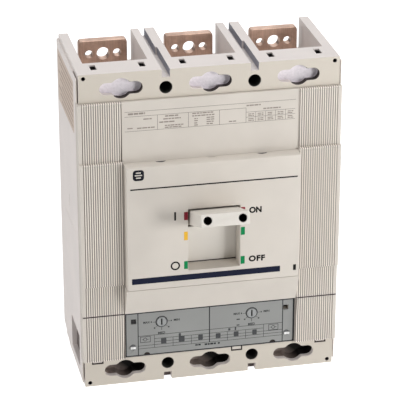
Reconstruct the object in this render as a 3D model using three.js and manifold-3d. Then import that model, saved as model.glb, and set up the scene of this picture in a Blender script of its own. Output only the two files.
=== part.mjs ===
// Three-pole molded case circuit breaker as separate pieces, with its toggle handle in the ON position.
// Millimetres, +Z up. Origin at the centre of the rear mounting face; the front faces -Y, +X is right.
import * as THREE from "three";
import { mergeVertices } from "three/addons/utils/BufferGeometryUtils.js";
import Module from "manifold-3d";

const wasm = await Module();
wasm.setup();

// ---- driving dimensions -------------------------------------------------------------------------
const PITCH = 70; // pole to pole
const POLES = [-PITCH, 0, PITCH];
const GAPS = [-PITCH / 2, PITCH / 2]; // centres of the walls between poles
const SIDES = [-1, 1];
const CORE_X = 103; // half width of the terminal sections
const SKIN_X = 104.7; // half width over the side skins
const CORE_Z = 134; // half height of the terminal sections
const SKIN_Z = 130.4; // half height of the side skins
const SECTION_Y = -98.3; // front of the terminal sections
const SKIN_Y = -97; // front edge of the side skins
const RIM_Y = -92; // parting plane of base and covers
const COVER_END = 111; // covers reach this far up and down
const CAVITY = { x: 99, z: 104, back: 4 };
const BAY = { half: 25.5, y: -72.7, floor: 108 }; // terminal bays, open to the rear and to the end
const HOLE = { z: 119.3, r: 5.15 }; // mounting holes
const ACCESS = { z: 121.2, lobe: 11.9, r: 8.3, rLobe: 5, fillet: 2.5 }; // screwdriver openings
const BARRIER = { w: 6.4, d: 6.4, deep: -47 }; // slots for the barriers between poles
const POCKET = { dx: 19, half: 2.4, y0: -88.4, y1: -77.9, deep: 12 }; // square pockets for terminal covers
const TONGUE = { xs: [-92.5, 22.25, 92.6], half: 3.6, y0: -98.3, y1: -96.3, z0: -113.2, z1: -110.5 };
const RECESS_DEPTH = 4.2; // handling recesses in the side skins
const COVER_X = 104.4; // half width of the covers
const CENTRE_X = 70; // half width of everything between the ribbed cheeks
const FACE_Y = -101.5; // ribbed cheeks
const BAND = { y: -104.1, z0: -43, z1: 61.8 }; // raised middle band of the cheeks
const RIB = { count: 18, pitch: 1.79, first: 0.75, w: 0.8, d: 1.1 };
const LABEL_Y = -101; // label plane
const SPLIT_Z = -70.2; // gap between the two covers
const SPLIT_GAP = 0.4;
const APRON = { top: -45.3, y0: -102, y1: -112.2 }; // sloping apron below the escutcheon
const WALL = 3;
const ESC = { y: -113, z0: -45, z1: 60.3 }; // escutcheon
const WINDOW = { x: 21, z0: -31, z1: 21.8 }; // handle window
const MOONS = [[-40.5, 2.8], [0, 1.6], [40.5, 2.8]]; // x and depth of the thumb recesses
const PIVOT = { y: -60, z: -5 }; // handle pivot
const TILT = (20 * Math.PI) / 180; // handle angle above and below level
const TIP_Y = -152.5; // handle tip
const SHUTTER_Y = -97.6;
const SHAFT = { y: -38, z: -8, r: 9 }; // contact shaft
const CRANK = 22; // distance of the drive link pins below the two axes
const ANCHOR = { y: -27, z: 26, r: 2.4 }; // spring anchor pin, also the latch pivot
const TRIP = { y: -70, z: -56, r: 3 }; // trip bar axis
const PANEL = { y: -99, t: 1.6, bottom: -110.3 }; // grey face of the trip unit
const DIAL = { xs: [-40, 34.4], z: -81, r: 4 };
const FASTENER = { x: 63.7, z: -102, r: 2.3 };
const BUTTON = { x: 62.9, z: -79, half: 1.95 };
const SCREWS = GAPS.flatMap((x) => [[x, 50], [x, -38]]);
const TERM = { half: 19.5, y0: -18, y1: -10, top: 132.3, neck: 12, inner: { upper: 36, lower: 50 } };
const CLEAR = 0.3; // clearance round pins and in slots

// ---- materials ----------------------------------------------------------------------------------
const material = (color, roughness, metalness = 0) => () =>
  new THREE.MeshStandardMaterial({ color, roughness, metalness });
const BEIGE = material(0xd2cabc, 0.55);
const BEIGE_BASE = material(0xddd6d0, 0.6);
const PALE = material(0xe4ddd4, 0.45);
const GREY = material(0x8c9194, 0.5);
const WHITE = material(0xf0f0ee, 0.4);
const BLACK = material(0x1a1a1c, 0.5);
const COPPER = material(0xa86a4c, 0.35, 0.9);
const BRAID = material(0xb07a58, 0.6, 0.7);
const SILVER = material(0xc8c8c4, 0.3, 0.9);
const STEEL = material(0x9a9c9e, 0.4, 0.9);
const SPRING = material(0x6e7072, 0.35, 0.9);
const BIMETAL = material(0xb9b2a2, 0.4, 0.8);
const FIBRE = material(0x8d7a68, 0.8);
const RESIN = material(0x3b3835, 0.6);

// ---- solids -------------------------------------------------------------------------------------
function solid(geometry) {
  const bare = geometry.clone();
  bare.deleteAttribute("normal");
  bare.deleteAttribute("uv");
  const merged = mergeVertices(bare, 1e-4);
  return new wasm.Manifold(
    new wasm.Mesh({
      numProp: 3,
      vertProperties: new Float32Array(merged.attributes.position.array),
      triVerts: new Uint32Array(merged.index.array),
    }),
  );
}

function box(x0, x1, y0, y1, z0, z1) {
  const g = new THREE.BoxGeometry(x1 - x0, y1 - y0, z1 - z0);
  return solid(g.translate((x0 + x1) / 2, (y0 + y1) / 2, (z0 + z1) / 2));
}

// A round bar along "x", "y" or "z" from a to b, centred on the other two coordinates in order.
function rod(axis, a, b, u, v, r, segments = 16) {
  const g = new THREE.CylinderGeometry(r, r, b - a, segments);
  if (axis === "x") g.rotateZ(-Math.PI / 2).translate((a + b) / 2, u, v);
  if (axis === "y") g.translate(u, (a + b) / 2, v);
  if (axis === "z") g.rotateX(Math.PI / 2).translate(u, v, (a + b) / 2);
  return solid(g);
}

// A plate whose outline is given as [y, z] points, standing across x0..x1.
function plate(points, x0, x1, bevel = 0) {
  const shape = new THREE.Shape(points.map(([y, z]) => new THREE.Vector2(y, z)));
  const g = new THREE.ExtrudeGeometry(shape, {
    depth: x1 - x0 - 2 * bevel,
    bevelEnabled: bevel > 0,
    bevelThickness: bevel,
    bevelSize: bevel,
    bevelOffset: -bevel,
    bevelSegments: 2,
  });
  // The shape's (x, y, depth) becomes (y, z, x).
  const turn = new THREE.Matrix4().set(0, 0, 1, x0 + bevel, 1, 0, 0, 0, 0, 1, 0, 0, 0, 0, 0, 1);
  return solid(g.applyMatrix4(turn));
}

// A bar across x0..x1 with rounded ends, from [y, z] to [y, z].
function strap(from, to, r, x0, x1) {
  const dy = to[0] - from[0];
  const dz = to[1] - from[1];
  const n = Math.hypot(dy, dz);
  const [py, pz] = [(-dz / n) * r, (dy / n) * r];
  const outline = [
    [from[0] + py, from[1] + pz],
    [from[0] - py, from[1] - pz],
    [to[0] - py, to[1] - pz],
    [to[0] + py, to[1] + pz],
  ];
  return join(
    plate(outline, x0, x1),
    rod("x", x0, x1, from[0], from[1], r),
    rod("x", x0, x1, to[0], to[1], r),
  );
}

const join = (first, ...rest) => rest.reduce((all, next) => all.add(next), first);
const cut = (first, ...rest) => rest.reduce((all, next) => all.subtract(next), first);

// The interval a..b on side s (-1 or 1) of zero, lowest value first.
const on = (s, a, b) => (s > 0 ? [a, b] : [-b, -a]);

const root = new THREE.Group();
root.name = "molded_case_breaker";

function group(name, parent, x, y, z) {
  const made = new THREE.Group();
  made.name = name;
  made.position.set(x, y, z);
  parent.add(made);
  return made;
}

// One named piece, modelled round its own reference point. The mesh is returned so that it can be placed.
function add(parent, name, shape, finish, x = 0, y = 0, z = 0) {
  const { numProp, numVert, vertProperties, triVerts } = shape.getMesh();
  const positions = new Float32Array(numVert * 3);
  for (let i = 0; i < numVert; i++) {
    positions.set(vertProperties.subarray(i * numProp, i * numProp + 3), i * 3);
  }
  const indexed = new THREE.BufferGeometry();
  indexed.setAttribute("position", new THREE.BufferAttribute(positions, 3));
  indexed.setIndex(new THREE.BufferAttribute(new Uint32Array(triVerts), 1));
  const flat = indexed.toNonIndexed();
  flat.computeVertexNormals();
  const mesh = new THREE.Mesh(flat, finish());
  mesh.name = name;
  mesh.position.set(x, y, z);
  parent.add(mesh);
  return mesh;
}

// ---- base ---------------------------------------------------------------------------------------
// One opening: a round middle that runs through fillets into a round lobe on each side.
function accessOpening(x, z) {
  const { lobe, r, rLobe, fillet } = ACCESS;
  const fz = rLobe + fillet;
  const fx = Math.sqrt((r + fillet) ** 2 - fz ** 2);
  const a = Math.atan2(fz, fx);
  const [quarter, half] = [Math.PI / 2, Math.PI];
  const outline = new THREE.Shape();
  outline.absarc(lobe, 0, rLobe, -quarter, quarter, false);
  outline.absarc(fx, fz, fillet, -quarter, a - half, true);
  outline.absarc(0, 0, r, a, half - a, false);
  outline.absarc(-fx, fz, fillet, -a, -quarter, true);
  outline.absarc(-lobe, 0, rLobe, quarter, half + quarter, false);
  outline.absarc(-fx, -fz, fillet, quarter, a, true);
  outline.absarc(0, 0, r, half + a, 2 * half - a, false);
  outline.absarc(fx, -fz, fillet, half - a, quarter, true);
  const [y0, y1] = [SECTION_Y - 1, BAY.y + 1];
  const g = new THREE.ExtrudeGeometry(outline, { depth: y1 - y0, bevelEnabled: false, curveSegments: 5 });
  return solid(g.rotateX(Math.PI / 2).translate(x, y1, z));
}

// Everything that is cut out of one end of the base, s = 1 for the top and -1 for the bottom.
function endCuts(s) {
  const cuts = [];
  const toEnd = (from) => on(s, from, CORE_Z + 1);
  for (const x of POLES) {
    const neck = TERM.neck + CLEAR;
    cuts.push(box(x - BAY.half, x + BAY.half, BAY.y, 1, ...toEnd(BAY.floor)));
    cuts.push(
      box(x - neck, x + neck, TERM.y0 - CLEAR, TERM.y1 + CLEAR, ...on(s, CAVITY.z - 1, BAY.floor + 1)),
    );
    cuts.push(accessOpening(x, ACCESS.z * s));
    for (const dx of [-POCKET.dx, POCKET.dx]) {
      const px = [x + dx - POCKET.half, x + dx + POCKET.half];
      cuts.push(box(...px, POCKET.y0, POCKET.y1, ...toEnd(CORE_Z - POCKET.deep)));
    }
  }
  for (const x of GAPS) {
    const half = BARRIER.w / 2;
    cuts.push(rod("y", SECTION_Y - 1, 1, x, HOLE.z * s, HOLE.r, 24));
    cuts.push(box(x - half, x + half, SECTION_Y - 1, BARRIER.deep, ...toEnd(CORE_Z - BARRIER.d)));
    cuts.push(box(x - half, x + half / 2, BARRIER.deep - 1, 1, ...toEnd(CORE_Z - BARRIER.d)));
  }
  for (const t of SIDES) {
    cuts.push(box(...on(t, CORE_X, SKIN_X - 0.7), SECTION_Y - 1, -78, ...on(s, COVER_END, SKIN_Z + 1)));
    cuts.push(rod("y", SECTION_Y - 1, -80, 99 * t, 130.8 * s, 1.7, 12));
  }
  return cuts;
}

// Marks on the side skins: a handling recess, a small slot, a nick, a fine seam and an ejector dot.
function sideMarks(t) {
  const skin = (d) => on(t, SKIN_X - d, SKIN_X + 1);
  return [
    box(...skin(RECESS_DEPTH), -84, -44, -122.5, -94.5),
    box(...skin(1.2), -50.2, -48.9, 5, 16),
    box(...skin(1), RIM_Y - 0.5, RIM_Y + 1.2, 42.5, 47),
    box(...skin(0.5), RIM_Y - 1, -22.7, -6.9, -6.4),
    rod("x", ...skin(1), -27.7, -33.9, 0.9, 10),
  ];
}

// A wall between two poles, open towards the front for the contact shaft.
function poleWall(x) {
  const back = -CAVITY.back + 1;
  const gap = SHAFT.r + 1.5;
  return cut(
    join(
      box(x - 2, x + 2, -60, back, -45, CAVITY.z + 1),
      box(x - 2, x + 2, -45, back, -CAVITY.z - 1, -44),
    ),
    rod("x", x - 3, x + 3, SHAFT.y, SHAFT.z, gap, 20),
    box(x - 3, x + 3, -61, SHAFT.y, SHAFT.z - gap, SHAFT.z + gap),
  );
}

function base() {
  const shell = cut(
    join(
      box(-CORE_X, CORE_X, SECTION_Y, 0, -CORE_Z, CORE_Z),
      box(-SKIN_X, SKIN_X, SKIN_Y, 0, -SKIN_Z, SKIN_Z),
    ),
    box(-CAVITY.x, CAVITY.x, SECTION_Y - 1, -CAVITY.back, -CAVITY.z, CAVITY.z),
    box(-SKIN_X - 1, SKIN_X + 1, SECTION_Y - 1, RIM_Y, -COVER_END, COVER_END),
    ...endCuts(1),
    ...endCuts(-1),
    ...SIDES.flatMap(sideMarks),
  );
  // The lower rear edge of the side skins is cut back.
  const wedge = cut(
    plate([[1, -121], [1, -135], [-31, -135], [-31, -SKIN_Z]], -SKIN_X - 1, SKIN_X + 1),
    box(-CORE_X, CORE_X, -40, 2, -136, -120),
  );
  const posts = SCREWS.map(([x, z]) => rod("y", -94, -50, x, z, 5, 14));
  const screwHoles = SCREWS.map(([x, z]) => rod("y", -95, -74, x, z, 2.3, 10));
  const pads = POLES.flatMap((x) =>
    [52, 82, -62, -92].map((z) => box(x - 8, x + 8, TERM.y1 + 0.1, -CAVITY.back + 1, z - 5, z + 5)),
  );
  const tongueSlots = TONGUE.xs.map((x) => {
    const half = TONGUE.half + 0.7;
    return box(x - half, x + half, SECTION_Y - 1, TONGUE.y1 + 3, TONGUE.z0 - 0.9, TONGUE.z1);
  });
  return cut(join(cut(shell, wedge), ...GAPS.map(poleWall), ...posts, ...pads), ...screwHoles, ...tongueSlots);
}
add(root, "base", base(), BEIGE_BASE);

// ---- covers -------------------------------------------------------------------------------------
function grooves(front, z0, z1) {
  const cuts = [];
  for (let i = 0; i < RIB.count; i++) {
    const x = CENTRE_X + RIB.first + i * RIB.pitch;
    for (const t of SIDES) {
      cuts.push(box(...on(t, x - RIB.w / 2, x + RIB.w / 2), front - 1, front + RIB.d, z0, z1));
    }
  }
  return cuts;
}

// The upper cover: ribbed cheeks with a raised band, label plane, and the apron under the escutcheon.
function frontCover() {
  const bottom = SPLIT_Z + SPLIT_GAP;
  const shell = cut(
    box(-COVER_X, COVER_X, FACE_Y, RIM_Y - 0.1, bottom, COVER_END - CLEAR),
    box(-100, 100, FACE_Y + WALL, RIM_Y + 1, bottom + WALL, COVER_END - WALL),
    box(-CENTRE_X, CENTRE_X, FACE_Y - 1, LABEL_Y, APRON.top, COVER_END),
  );
  const inner = FACE_Y + WALL + 0.5;
  const apron = [[inner, bottom], [APRON.y0, bottom], [APRON.y1, APRON.top], [inner, APRON.top]];
  const hollow = [
    [inner + 1, bottom + WALL],
    [APRON.y0 + 2, bottom + WALL],
    [APRON.y1 + WALL, APRON.top - WALL],
    [inner + 1, APRON.top - WALL],
  ];
  const bands = SIDES.map((t) => box(...on(t, CENTRE_X, COVER_X), BAND.y, FACE_Y + 1, BAND.z0, BAND.z1));
  // Rails that carry the shutter.
  const rails = SIDES.flatMap((t) => [
    box(...on(t, 25.4, 28), FACE_Y + WALL, -94.2, -62, 53),
    box(...on(t, 24, 28), -95.9, -94.2, -62, 53),
  ]);
  const open = cut(
    join(shell, plate(apron, -CENTRE_X, CENTRE_X), ...bands),
    plate(hollow, -CENTRE_X + WALL, CENTRE_X - WALL),
    box(-WINDOW.x, WINDOW.x, FACE_Y - 1, inner + 1, WINDOW.z0, WINDOW.z1),
    ...grooves(FACE_Y, BAND.z1 + 0.01, COVER_END - 1.4),
    ...grooves(BAND.y, BAND.z0 + 0.8, BAND.z1 - 1),
    ...grooves(FACE_Y, SPLIT_Z + 1, BAND.z0 - 0.01),
    ...SCREWS.map(([x, z]) => rod("y", FACE_Y - 1, inner + 1, x, z, 2.4, 12)),
  );
  return join(open, ...rails);
}
add(root, "front_cover", frontCover(), BEIGE);

// Openings of the trip unit's dials, fasteners and buttons, in a wall from y0 to y1.
function controlHoles(y0, y1, dial, fastener, square) {
  return [
    ...DIAL.xs.map((x) => rod("y", y0, y1, x, DIAL.z, dial, 20)),
    ...SIDES.map((t) => rod("y", y0, y1, FASTENER.x * t, FASTENER.z, fastener, 14)),
    ...SIDES.map((t) => {
      const x = BUTTON.x * t;
      return box(x - square, x + square, y0, y1, BUTTON.z - square, BUTTON.z + square);
    }),
  ];
}

function tripUnitCover() {
  const top = SPLIT_Z - SPLIT_GAP;
  const floor = PANEL.y + PANEL.t + 0.2;
  const shell = cut(
    box(-COVER_X, COVER_X, FACE_Y, RIM_Y - 0.1, -COVER_END + CLEAR, top),
    box(-CENTRE_X - CLEAR, CENTRE_X + CLEAR, FACE_Y - 1, floor, -COVER_END, SPLIT_Z),
    ...SIDES.map((t) => box(...on(t, CENTRE_X + WALL, 101), FACE_Y + WALL, RIM_Y + 1, -108, top - WALL)),
  );
  const tongues = TONGUE.xs.map((x) =>
    box(x - TONGUE.half, x + TONGUE.half, TONGUE.y0, TONGUE.y1, TONGUE.z0, TONGUE.z1),
  );
  return cut(
    join(shell, ...tongues),
    ...grooves(FACE_Y, -COVER_END + 1.2, SPLIT_Z - 1),
    ...controlHoles(floor - 1, RIM_Y + 1, 2.4, 1.6, 2.3),
  );
}
add(root, "trip_unit_cover", tripUnitCover(), BEIGE);

// A shallow tray with a window tunnel and three thumb recesses along its top edge.
function escutcheon() {
  const [x, bevel, back, wall] = [CENTRE_X - 0.4, 1, LABEL_Y - 0.1, 2.5];
  const outline = new THREE.Shape();
  outline.moveTo(-x, ESC.z0);
  outline.lineTo(x, ESC.z0);
  outline.lineTo(x, ESC.z1);
  outline.lineTo(-x, ESC.z1);
  const block = new THREE.ExtrudeGeometry(outline, {
    depth: back - ESC.y,
    bevelEnabled: true,
    bevelThickness: bevel,
    bevelSize: bevel,
    bevelOffset: -bevel,
    bevelSegments: 2,
  });
  block.rotateX(Math.PI / 2).translate(0, back + bevel, 0);
  const tunnel = wall - 0.3;
  const moons = MOONS.map(([mx, depth]) => {
    const [flat, r] = [LABEL_Y - 1, 5.2];
    const moon = rod("z", ESC.z1 - 3.5, ESC.z1 + 1, mx, flat - depth + r, r, 20);
    return cut(moon, box(mx - 7, mx + 7, flat, -80, 0, 80));
  });
  const tray = cut(
    solid(block),
    box(-75, 75, back, -90, -80, 80),
    box(-x + wall, x - wall, ESC.y + wall, -90, ESC.z0 + wall, ESC.z1 - wall),
  );
  return cut(
    join(
      tray,
      box(-WINDOW.x - tunnel, WINDOW.x + tunnel, ESC.y + 1, back, WINDOW.z0 - tunnel, WINDOW.z1 + tunnel),
    ),
    box(-WINDOW.x, WINDOW.x, ESC.y - 1, back + 1, WINDOW.z0, WINDOW.z1),
    ...moons,
  );
}
add(root, "escutcheon", escutcheon(), BEIGE);

// ---- handle and its linkage ---------------------------------------------------------------------
const BOW = { x0: 24, x1: 26.5, top: 29.8 }; // the yoke's legs and how far its bridge reaches
const LINK = { dy: SHAFT.y - PIVOT.y, dz: SHAFT.z - PIVOT.z }; // from the yoke's pin to the shaft's pin

function grip() {
  const tip = -(PIVOT.y - TIP_Y) / Math.cos(TILT);
  const neck = -37;
  const body = plate([[tip, -5.1], [neck, -6.3], [neck, 6.3], [tip, 5.1]], -19.3, 19.3, 0.7);
  const foot = box(-12, 12, neck - 3, -BOW.top - CLEAR, -5, 5);
  const holes = [-13.8, 13.8].map((x) => rod("y", tip - 1, tip + 22, x, 0, 3.3, 20));
  return cut(join(body, foot), ...holes);
}
const handle = group("handle", root, 0, PIVOT.y, PIVOT.z);
handle.rotation.x = -TILT;
add(handle, "toggle_handle", grip(), PALE);

// The yoke's crank hangs straight down while its bow leans with the handle.
function handleYoke() {
  const lean = (s) => s.rotate([THREE.MathUtils.radToDeg(-TILT), 0, 0]);
  const legs = SIDES.map((t) => {
    const x = on(t, BOW.x0, BOW.x1);
    return join(
      lean(box(...x, -BOW.top, 0, -6, 6)),
      rod("x", ...x, 0, 0, 6),
      strap([0, 0], [0, -CRANK], 4, ...x),
      rod("x", ...on(t, BOW.x1 - 0.5, 29.7), 0, 0, 2.7, 14),
    );
  });
  const pinHoles = SIDES.map((t) => rod("x", ...on(t, BOW.x0 - 1, BOW.x1 + 1), 0, -CRANK, 2.5, 14));
  const bridge = lean(box(-BOW.x1, BOW.x1, -BOW.top, -BOW.top + 2.8, -6, 6));
  return cut(join(bridge, ...legs), ...pinHoles);
}
const mechanism = group("mechanism", root, 0, PIVOT.y, PIVOT.z);
add(mechanism, "handle_yoke", handleYoke(), STEEL);

const shutterSwing = Math.tan(TILT) * (PIVOT.y - SHUTTER_Y); // how far the handle stands off level there
const handleZ = PIVOT.z + shutterSwing;
const shutter = cut(
  box(-25, 25, 0, 1.2, WINDOW.z0 - handleZ - 2.5, WINDOW.z1 - handleZ + 2 * shutterSwing + 1.5),
  box(-20.4, 20.4, -1, 2, -9, 8.6),
);
add(root, "handle_shutter", shutter, PALE, 0, SHUTTER_Y, handleZ);

function driveLink(t) {
  return join(
    strap([0, 0], [LINK.dy, LINK.dz], 4, ...on(t, 20.3, 23.5)),
    rod("x", ...on(t, 23, BOW.x1), 0, 0, 2.2, 12),
    rod("x", ...on(t, 15.6, 21), LINK.dy, LINK.dz, 2.2, 12),
  );
}

function mechanismPlate(t) {
  const outline = [
    [-26, -13], [-26, 15], [-10, 35], [38, 39], [55.8, 29], [55.8, -29], [38, -37], [-8, -37],
  ];
  const x = on(t, 26, 31);
  return cut(
    plate(outline, ...on(t, 27.3, 29.5)),
    rod("x", ...x, 0, 0, 3, 14),
    rod("x", ...x, SHAFT.y - PIVOT.y, SHAFT.z - PIVOT.z, SHAFT.r + 0.8, 20),
    rod("x", ...x, ANCHOR.y - PIVOT.y, ANCHOR.z - PIVOT.z, ANCHOR.r + CLEAR, 14),
  );
}
for (const [side, t] of [["left", -1], ["right", 1]]) {
  add(mechanism, "drive_link_" + side, driveLink(t), STEEL, 0, 0, -CRANK);
  add(mechanism, "mechanism_plate_" + side, mechanismPlate(t), STEEL);
}

const anchor = group("anchor", root, 0, ANCHOR.y, ANCHOR.z);
add(anchor, "spring_anchor_pin", rod("x", -29.8, 29.8, 0, 0, ANCHOR.r), STEEL);

// A coil spring along +Y, starting at the origin.
function coil(length, radius, wire, turns) {
  class Helix extends THREE.Curve {
    getPoint(s, target = new THREE.Vector3()) {
      const angle = s * turns * 2 * Math.PI;
      return target.set(radius * Math.cos(angle), length * s, radius * Math.sin(angle));
    }
  }
  const section = new THREE.Shape();
  section.absarc(0, 0, wire, 0, Math.PI * 2);
  return new THREE.ExtrudeGeometry(section, { steps: turns * 7, extrudePath: new Helix(), curveSegments: 3 });
}
const SPRING_REACH = { dy: -52.5, dz: -18, gap: 5.7 }; // from the anchor pin to the yoke's bridge
const springSpan = Math.hypot(SPRING_REACH.dy, SPRING_REACH.dz);
for (const [side, t] of [["left", -1], ["right", 1]]) {
  const share = SPRING_REACH.gap / springSpan;
  const spring = add(
    anchor,
    "main_spring_" + side,
    solid(coil(springSpan - SPRING_REACH.gap, 2.4, 0.55, 8)),
    SPRING,
    14.2 * t,
    SPRING_REACH.dy * share,
    SPRING_REACH.dz * share,
  );
  spring.rotation.x = Math.atan2(SPRING_REACH.dz, SPRING_REACH.dy);
}

const latchOutline = [[0, -4.5], [-33, -9], [-51, -9], [-51, -4], [-47, -4], [-47, -1], [-33, -2], [0, 4.5]];
const latch = cut(
  join(plate(latchOutline, 7.2, 10.2), rod("x", 7.2, 10.2, 0, 0, 5)),
  rod("x", 6, 12, 0, 0, ANCHOR.r + CLEAR),
);
add(anchor, "latch_lever", latch, STEEL);

// ---- contact shaft and poles --------------------------------------------------------------------
function crossbar() {
  const armSlots = POLES.map((x) => box(x - 5.3, x + 5.3, -4.8, 4.8, -SHAFT.r - 1, SHAFT.r + 1));
  const cranks = SIDES.map((t) => strap([0, 0], [0, -CRANK], 4.5, ...on(t, 15.5, 19.8)));
  const pinHoles = SIDES.map((t) => rod("x", ...on(t, 14.5, 20.8), 0, -CRANK, 2.5, 14));
  return cut(join(cut(rod("x", -94, 94, 0, 0, SHAFT.r, 20), ...armSlots), ...cranks), ...pinHoles);
}
const contactShaft = group("contact_shaft", root, 0, SHAFT.y, SHAFT.z);
add(contactShaft, "crossbar", crossbar(), RESIN);

// A terminal: a wide blade with three holes, and a neck that leads into the pole.
function terminal(s, inner) {
  const corner = 3;
  const [low, high] = [BAY.floor + 0.4, TERM.top];
  const blade = new THREE.Shape();
  blade.moveTo(-TERM.half, low * s);
  blade.lineTo(-TERM.half, (high - corner) * s);
  blade.quadraticCurveTo(-TERM.half, high * s, -TERM.half + corner, high * s);
  blade.lineTo(TERM.half - corner, high * s);
  blade.quadraticCurveTo(TERM.half, high * s, TERM.half, (high - corner) * s);
  blade.lineTo(TERM.half, low * s);
  const bevel = 0.5;
  const bladeSolid = new THREE.ExtrudeGeometry(blade, {
    depth: TERM.y1 - TERM.y0 - 2 * bevel,
    bevelThickness: bevel,
    bevelSize: bevel,
    bevelOffset: -bevel,
    bevelSegments: 1,
    curveSegments: 3,
  });
  bladeSolid.rotateX(Math.PI / 2).translate(0, TERM.y1 - bevel, 0);
  const neck = box(-TERM.neck, TERM.neck, TERM.y0, TERM.y1, ...on(s, inner, BAY.floor + 1));
  const y = [TERM.y0 - 1, TERM.y1 + 1];
  return cut(
    join(solid(bladeSolid), neck),
    rod("y", ...y, 0, ACCESS.z * s, 5.15, 20),
    ...[-11.3, 11.3].map((x) => rod("y", ...y, x, ACCESS.z * s, 3.3, 14)),
  );
}

// The braid runs from the lower terminal's neck to the foot of the contact arm.
function braid() {
  const [half, steps] = [1.5, 12];
  const course = [[-19.9, -66], [-20.4, -56], [-25, -45], [-33, -38], [-37, -33], [-38, -26.4]];
  const path = new THREE.CatmullRomCurve3(course.map(([y, z]) => new THREE.Vector3(0, y, z)));
  const front = [];
  const rear = [];
  for (let k = 0; k <= steps; k++) {
    const p = path.getPoint(k / steps);
    const d = path.getTangent(k / steps);
    front.push([p.y - d.z * half, p.z + d.y * half]);
    rear.unshift([p.y + d.z * half, p.z - d.y * half]);
  }
  return plate([...front, ...rear], -5, 5);
}

// A stack of notched splitter plates between two side boards.
function arcChute() {
  const notch = new THREE.Shape();
  notch.moveTo(-9, 0);
  notch.lineTo(9, 0);
  notch.lineTo(0, 26);
  const boards = SIDES.map((t) => box(...on(t, 23, 25), -80, -24, 54, 100));
  const plates = Array.from({ length: 8 }, (_, k) => {
    const z = 56 + k * 5.6;
    const slot = new THREE.ExtrudeGeometry(notch, { depth: 3, bevelEnabled: false });
    return cut(box(-24, 24, -79, -26, z, z + 1.3), solid(slot.translate(0, -80.1, z - 1)));
  });
  return join(...boards, ...plates);
}

const armOutline = [
  [-4.5, -18], [4.5, -18], [4.5, 41], [13.5, 44], [16.7, 44], [16.7, 54.5], [8, 56.5], [-4.5, 47],
];
const stripOutline = [
  [-65.6, -66], [-65.6, -96.4], [-50.3, -96.4], [-50.3, -98], [-67, -98], [-67, -66],
];
POLES.forEach((x, i) => {
  const pole = group("pole_" + (i + 1), root, x, 0, 0);
  const piece = (name, ...rest) => add(pole, `${name}_${i + 1}`, ...rest);
  piece("contact_arm", plate(armOutline, -5, 5), COPPER, 0, SHAFT.y, SHAFT.z);
  piece("fixed_contact", box(-6, 6, TERM.y0 - 3, TERM.y0 - 0.02, 37, 46), SILVER);
  piece("upper_terminal", terminal(1, TERM.inner.upper), COPPER);
  piece("lower_terminal", terminal(-1, TERM.inner.lower), COPPER);
  piece("flexible_braid", braid(), BRAID);
  piece("arc_chute", arcChute(), FIBRE);

  // The thermal strip and the magnet sit side by side, with the magnet on the side of the pole wall.
  const t = i === 0 ? -1 : 1;
  piece("bimetal", plate(stripOutline, ...on(t, 4, 12)), BIMETAL);
  piece(
    "magnet_yoke",
    cut(box(...on(t, -13, 2), -61, -50.3, -92, -76), box(...on(t, -10, -1), -62, -53.3, -93, -75)),
    STEEL,
  );
  piece("armature", box(...on(t, -12, 1), -66, -64.4, -95, -67), STEEL);
});

// ---- trip unit ----------------------------------------------------------------------------------
function tripHousing() {
  const ears = SIDES.map((t) => box(...on(t, 91.5, 95), -78, -47, -100, -49));
  const bores = SIDES.map((t) => rod("x", ...on(t, 90, 96), TRIP.y, TRIP.z, TRIP.r + CLEAR, 16));
  return cut(join(box(-95, 95, -50.1, -47, -100, -49), ...ears), ...bores);
}
add(root, "trip_unit_housing", tripHousing(), RESIN);

// The trip bar: a shaft with a paddle at each pole and a finger behind the test button.
function tripBar() {
  const paddles = POLES.flatMap((x) => [
    box(x - 11, x + 11, 0, 9.5, -2, 1.5),
    box(x - 11, x + 11, 7.5, 9.5, -16, 1.5),
  ]);
  const finger = [-BUTTON.x - 1.5, -BUTTON.x + 1.5];
  return join(
    rod("x", -94.8, 94.8, 0, 0, TRIP.r),
    ...paddles,
    box(...finger, -5, 2, -2.5, 2.5),
    box(...finger, -5, -3, -28, 2.5),
  );
}
const tripShaft = group("trip_shaft", root, 0, TRIP.y, TRIP.z);
add(tripShaft, "trip_bar", tripBar(), RESIN);

const face = cut(
  box(-CENTRE_X, CENTRE_X, 0, PANEL.t, PANEL.bottom, SPLIT_Z - 0.6),
  ...controlHoles(-1, 3, DIAL.r + CLEAR, FASTENER.r + CLEAR, BUTTON.half + 0.25),
  ...SIDES.map((t) => rod("y", -1, 3, 52.2 * t, PANEL.bottom + 0.1, 2.8, 16)),
);
const front = group("trip_unit_front", root, 0, PANEL.y, 0);
add(front, "trip_unit_face", face, GREY);

const knob = cut(
  join(rod("y", -0.8, 1.5, 0, 0, DIAL.r, 20), rod("y", 1, 13, 0, 0, 2, 12)),
  box(-0.6, 0.6, -2, 0.2, -3, 3),
);
add(front, "thermal_dial", knob, GREY, DIAL.xs[0], 0, DIAL.z);
add(front, "magnetic_dial", knob, GREY, DIAL.xs[1], 0, DIAL.z);

const fastener = join(
  rod("y", -0.3, 1.5, 0, 0, FASTENER.r),
  box(-2.1, 2.1, -1.6, 0, -0.9, 0.9),
  rod("y", 1, 9, 0, 0, 1.3, 12),
);
add(front, "face_fastener_left", fastener, WHITE, -FASTENER.x, 0, FASTENER.z);
add(front, "face_fastener_right", fastener, WHITE, FASTENER.x, 0, FASTENER.z);

const button = box(-BUTTON.half, BUTTON.half, 0.8, 22.5, -BUTTON.half, BUTTON.half);
add(front, "trip_button", button, BLACK, -BUTTON.x, 0, BUTTON.z);

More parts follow.
